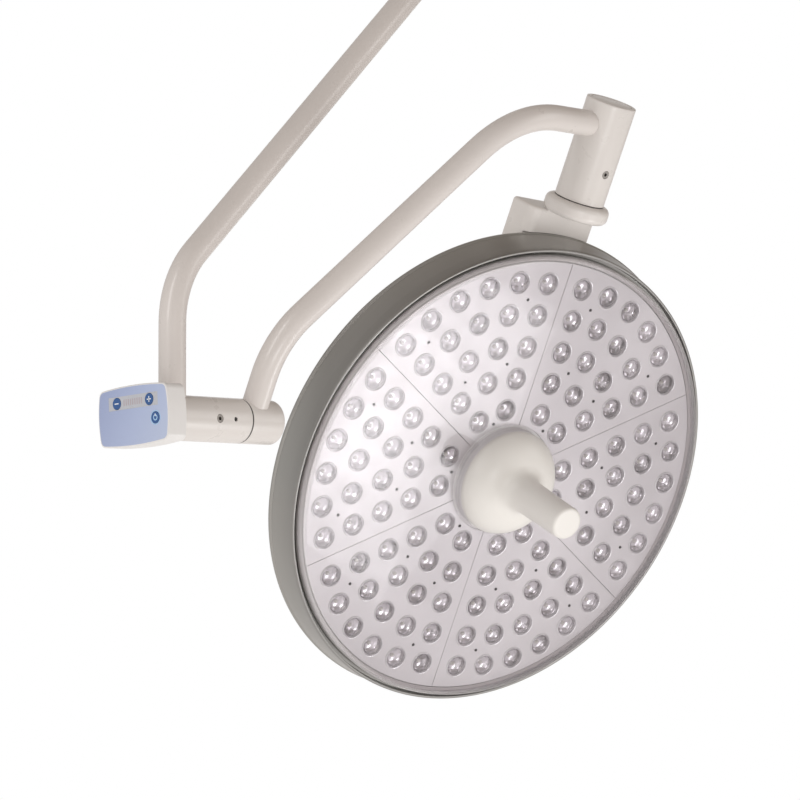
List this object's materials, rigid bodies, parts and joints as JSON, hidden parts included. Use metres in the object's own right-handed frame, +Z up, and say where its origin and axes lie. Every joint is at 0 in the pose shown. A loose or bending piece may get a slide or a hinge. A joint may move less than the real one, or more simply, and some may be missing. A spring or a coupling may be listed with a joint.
{
  "type": "surgical light",
  "caption": "Round operating light head with lens panels, sterile handle and side control box, hung on a double bent-tube yoke.",
  "frame": {"origin": "centre of the mounting spindle's shoulder, where the light hangs from a ceiling or spring arm", "axes": "+Z up along the spindle and the swivel axis, +X along the level tilt axis from the control box towards the lamp head, -Y towards the lit side"},
  "size_m": [1.0325, 0.4362, 1.2281],
  "materials": {
    "cream_paint": "gloss paint, warm off-white",
    "cream_casting": "painted casting, warm off-white, smooth",
    "cream_plastic": "smooth moulded cover, warm off-white",
    "white_plastic": "smooth moulded box, white",
    "box_plate": "painted plate, off-white",
    "rim_metal": "satin anodised grey",
    "heat_sink": "plain milled plate",
    "steel": "turned steel",
    "screw_steel": "zinc plated, grey",
    "black_screw": "black oxide",
    "black_polymer": "matt black",
    "bush_polymer": "plain bearing polymer",
    "clear_cover": "clear polycarbonate, hard coated",
    "clear_lens": "clear moulded lens panel over silvery lilac grey",
    "seal": "soft seal",
    "circuit": "white coated circuit board",
    "panel_blue": "lavender blue printed foil",
    "display": "grey display window",
    "button_blue": "dark blue with white symbol"
  },
  "bodies": {
    "spindle": {"mounting_spindle": "steel", "swivel_shaft_nut": "steel"},
    "outer_arm": {"swivel_housing": "cream_paint", "swivel_bushes": "bush_polymer", "swivel_gap_ring": "black_polymer", "swivel_brake_screw": "screw_steel", "swivel_brake_shoe": "bush_polymer", "swivel_cap": "cream_plastic", "outer_arm_tube": "cream_paint", "tilt_housing": "cream_paint", "tilt_bushes": "bush_polymer", "tilt_gap_ring": "black_polymer", "tilt_brake_screw": "screw_steel", "tilt_brake_shoe": "bush_polymer", "tilt_stop_screw": "black_screw", "control_box_body": "white_plastic", "control_faceplate": "panel_blue", "display_strip": "display", "control_circuit_board": "circuit", "key_switches": "black_polymer", "control_box_back_plate": "box_plate", "control_box_screws": "screw_steel", "box_mount_screws": "screw_steel"},
    "inner_arm": {"tilt_hub": "cream_paint", "tilt_shaft": "steel", "tilt_shaft_nut": "steel", "inner_arm_tube": "cream_paint", "turn_housing": "cream_paint", "turn_bushes": "bush_polymer", "turn_gap_ring": "black_polymer", "turn_brake_screw": "screw_steel", "turn_brake_shoe": "bush_polymer", "turn_cap": "cream_plastic"},
    "lamp_head": {"turn_shaft": "steel", "turn_shaft_nut": "steel", "head_bracket": "cream_casting", "rim_ring": "rim_metal", "back_cover": "cream_plastic", "base_plate": "heat_sink", "led_driver": "black_polymer", "led_boards": "circuit", "lens_panel_1": "clear_lens", "lens_panel_2": "clear_lens", "lens_panel_3": "clear_lens", "lens_panel_4": "clear_lens", "lens_panel_5": "clear_lens", "lens_panel_6": "clear_lens", "panel_screws": "screw_steel", "front_cover": "clear_cover", "cover_seal": "seal", "focus_hub": "heat_sink"},
    "focus_core": {"focus_core": "heat_sink", "focus_ring": "steel", "latch_clips": "black_polymer"},
    "handle": {"sterile_handle": "cream_plastic"},
    "dimmer_down": {"dimmer_down_button": "button_blue"},
    "dimmer_up": {"dimmer_up_button": "button_blue"},
    "power": {"power_button": "button_blue"}
  },
  "joints": [
    {"name": "swivel", "type": "hinge", "parent": "spindle", "child": "outer_arm", "pos_m": [0, 0, -0.05], "axis": [0, 0, 1], "continuous": true},
    {"name": "arm_tilt", "type": "hinge", "parent": "outer_arm", "child": "inner_arm", "pos_m": [0, 0, -0.8], "axis": [1, 0, 0], "range_deg": [-159.6, 110.4]},
    {"name": "head_turn", "type": "hinge", "parent": "inner_arm", "child": "lamp_head", "pos_m": [0, 0, -0.8], "axis": [0, -0.4161, 0.9093], "range_deg": [-154.2, 175.8]},
    {"name": "handle_focus", "type": "hinge", "parent": "lamp_head", "child": "focus_core", "pos_m": [-0.0059, -0.00634, -0.86075], "axis": [-0.1869, -0.8933, -0.4088], "range_deg": [-75, 75]},
    {"name": "handle_pull", "type": "slide", "parent": "focus_core", "child": "handle", "axis": [-0.1869, -0.8933, -0.4088], "range_m": [0, 0.15]},
    {"name": "dimmer_down_press", "type": "slide", "parent": "outer_arm", "child": "dimmer_down", "axis": [1, 0, 0], "range_m": [0, 0.0008], "stiffness_N_per_m": 900, "springref_m": -0.0006},
    {"name": "dimmer_up_press", "type": "slide", "parent": "outer_arm", "child": "dimmer_up", "axis": [1, 0, 0], "range_m": [0, 0.0008], "stiffness_N_per_m": 900, "springref_m": -0.0006},
    {"name": "power_press", "type": "slide", "parent": "outer_arm", "child": "power", "axis": [1, 0, 0], "range_m": [0, 0.0008], "stiffness_N_per_m": 900, "springref_m": -0.0006}
  ]
}
